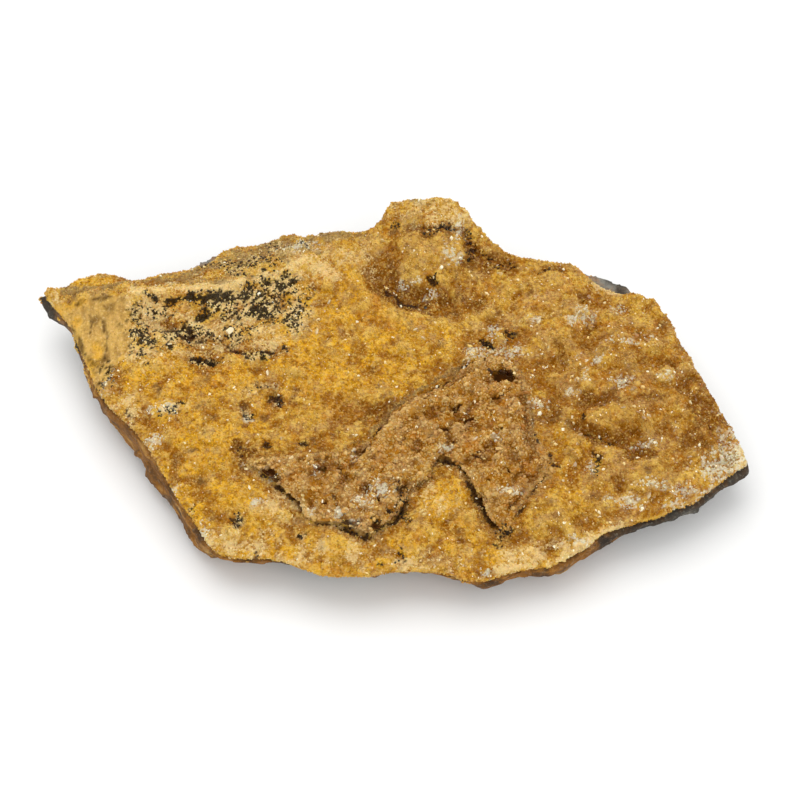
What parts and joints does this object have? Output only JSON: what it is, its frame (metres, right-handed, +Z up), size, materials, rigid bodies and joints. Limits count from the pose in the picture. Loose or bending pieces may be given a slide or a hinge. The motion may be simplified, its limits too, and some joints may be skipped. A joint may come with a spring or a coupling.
{
  "type": "celestite druse on matrix",
  "caption": "Honey-brown crust of small crystals on a thin limestone slab, with a coarser raised crust, lying flat, crystals up.",
  "frame": {"origin": "middle of the bounding box on the plane that the slab rests on", "axes": "+X along the length of the slab, +Y to its thicker back edge with the knob, +Z up out of the crystals"},
  "size_m": [0.162, 0.0962, 0.0257],
  "materials": {
    "limestone": "rough broken dark grey limestone",
    "honey_crystal": "fine glittering ochre crystal druse",
    "brown_crystal": "coarse glassy brown crystal crust"
  },
  "bodies": {
    "root": {"matrix": "limestone", "druse": "honey_crystal", "raised_crust": "brown_crystal"}
  },
  "joints": []
}
